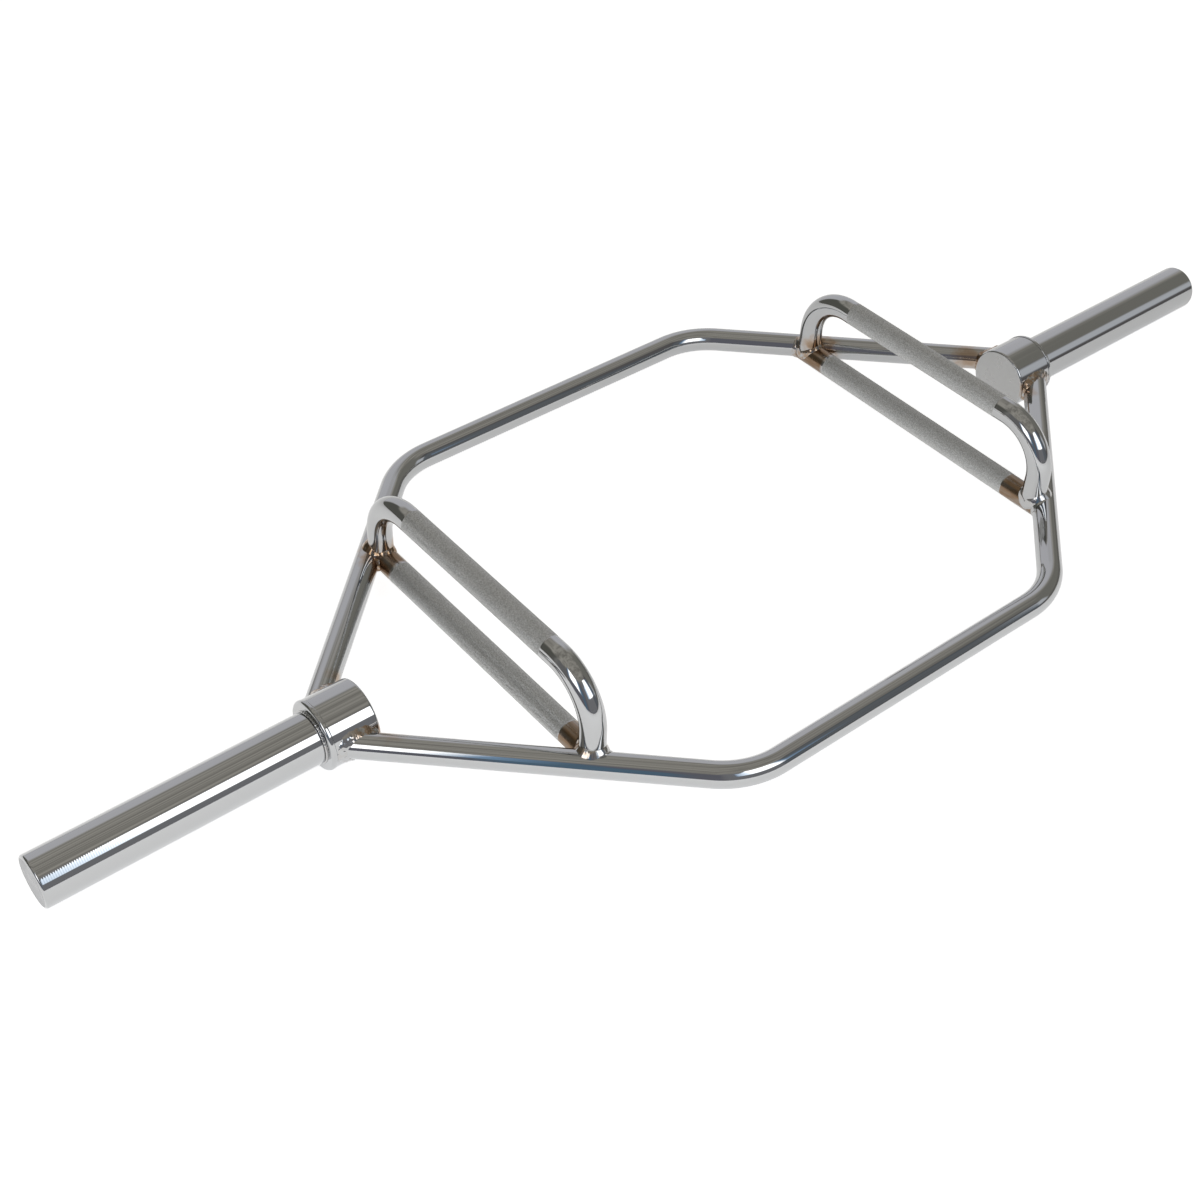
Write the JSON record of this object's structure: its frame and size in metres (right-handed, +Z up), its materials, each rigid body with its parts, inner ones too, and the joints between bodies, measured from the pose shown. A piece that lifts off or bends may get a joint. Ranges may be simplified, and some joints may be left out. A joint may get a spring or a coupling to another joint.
{
  "type": "hex trap bar",
  "caption": "Chromed hexagonal deadlift bar with a plate sleeve at each end and low and raised knurled grips on both sides.",
  "frame": {"origin": "on the floor under the middle of the bar, at the lowest point of the stop collars", "axes": "+X along the sleeves to the right, +Y to the rear, +Z up, with the raised grips on top"},
  "size_m": [1.48, 0.5704, 0.13],
  "materials": {
    "frame_chrome": "polished chrome plate on bent round bar",
    "grip_chrome": "chrome plate with a fine diamond knurl, polished at the bends and ends",
    "hub_chrome": "polished chrome, satin turned inner face",
    "sleeve_chrome": "polished chrome with fine turning marks",
    "weld_bead": "chrome over rippled weld, stained brown in the corners"
  },
  "bodies": {
    "root": {"front_frame_bar": "frame_chrome", "rear_frame_bar": "frame_chrome", "left_hub": "hub_chrome", "left_stop_collar": "hub_chrome", "left_sleeve": "sleeve_chrome", "left_sleeve_end_plug": "sleeve_chrome", "left_collar_weld": "weld_bead", "left_low_handle": "grip_chrome", "left_raised_handle": "grip_chrome", "left_front_hub_weld": "weld_bead", "left_front_foot_weld": "weld_bead", "left_front_low_handle_weld": "weld_bead", "left_rear_hub_weld": "weld_bead", "left_rear_foot_weld": "weld_bead", "left_rear_low_handle_weld": "weld_bead", "right_hub": "hub_chrome", "right_stop_collar": "hub_chrome", "right_sleeve": "sleeve_chrome", "right_sleeve_end_plug": "sleeve_chrome", "right_collar_weld": "weld_bead", "right_low_handle": "grip_chrome", "right_raised_handle": "grip_chrome", "right_front_hub_weld": "weld_bead", "right_front_foot_weld": "weld_bead", "right_front_low_handle_weld": "weld_bead", "right_rear_hub_weld": "weld_bead", "right_rear_foot_weld": "weld_bead", "right_rear_low_handle_weld": "weld_bead"}
  },
  "joints": []
}
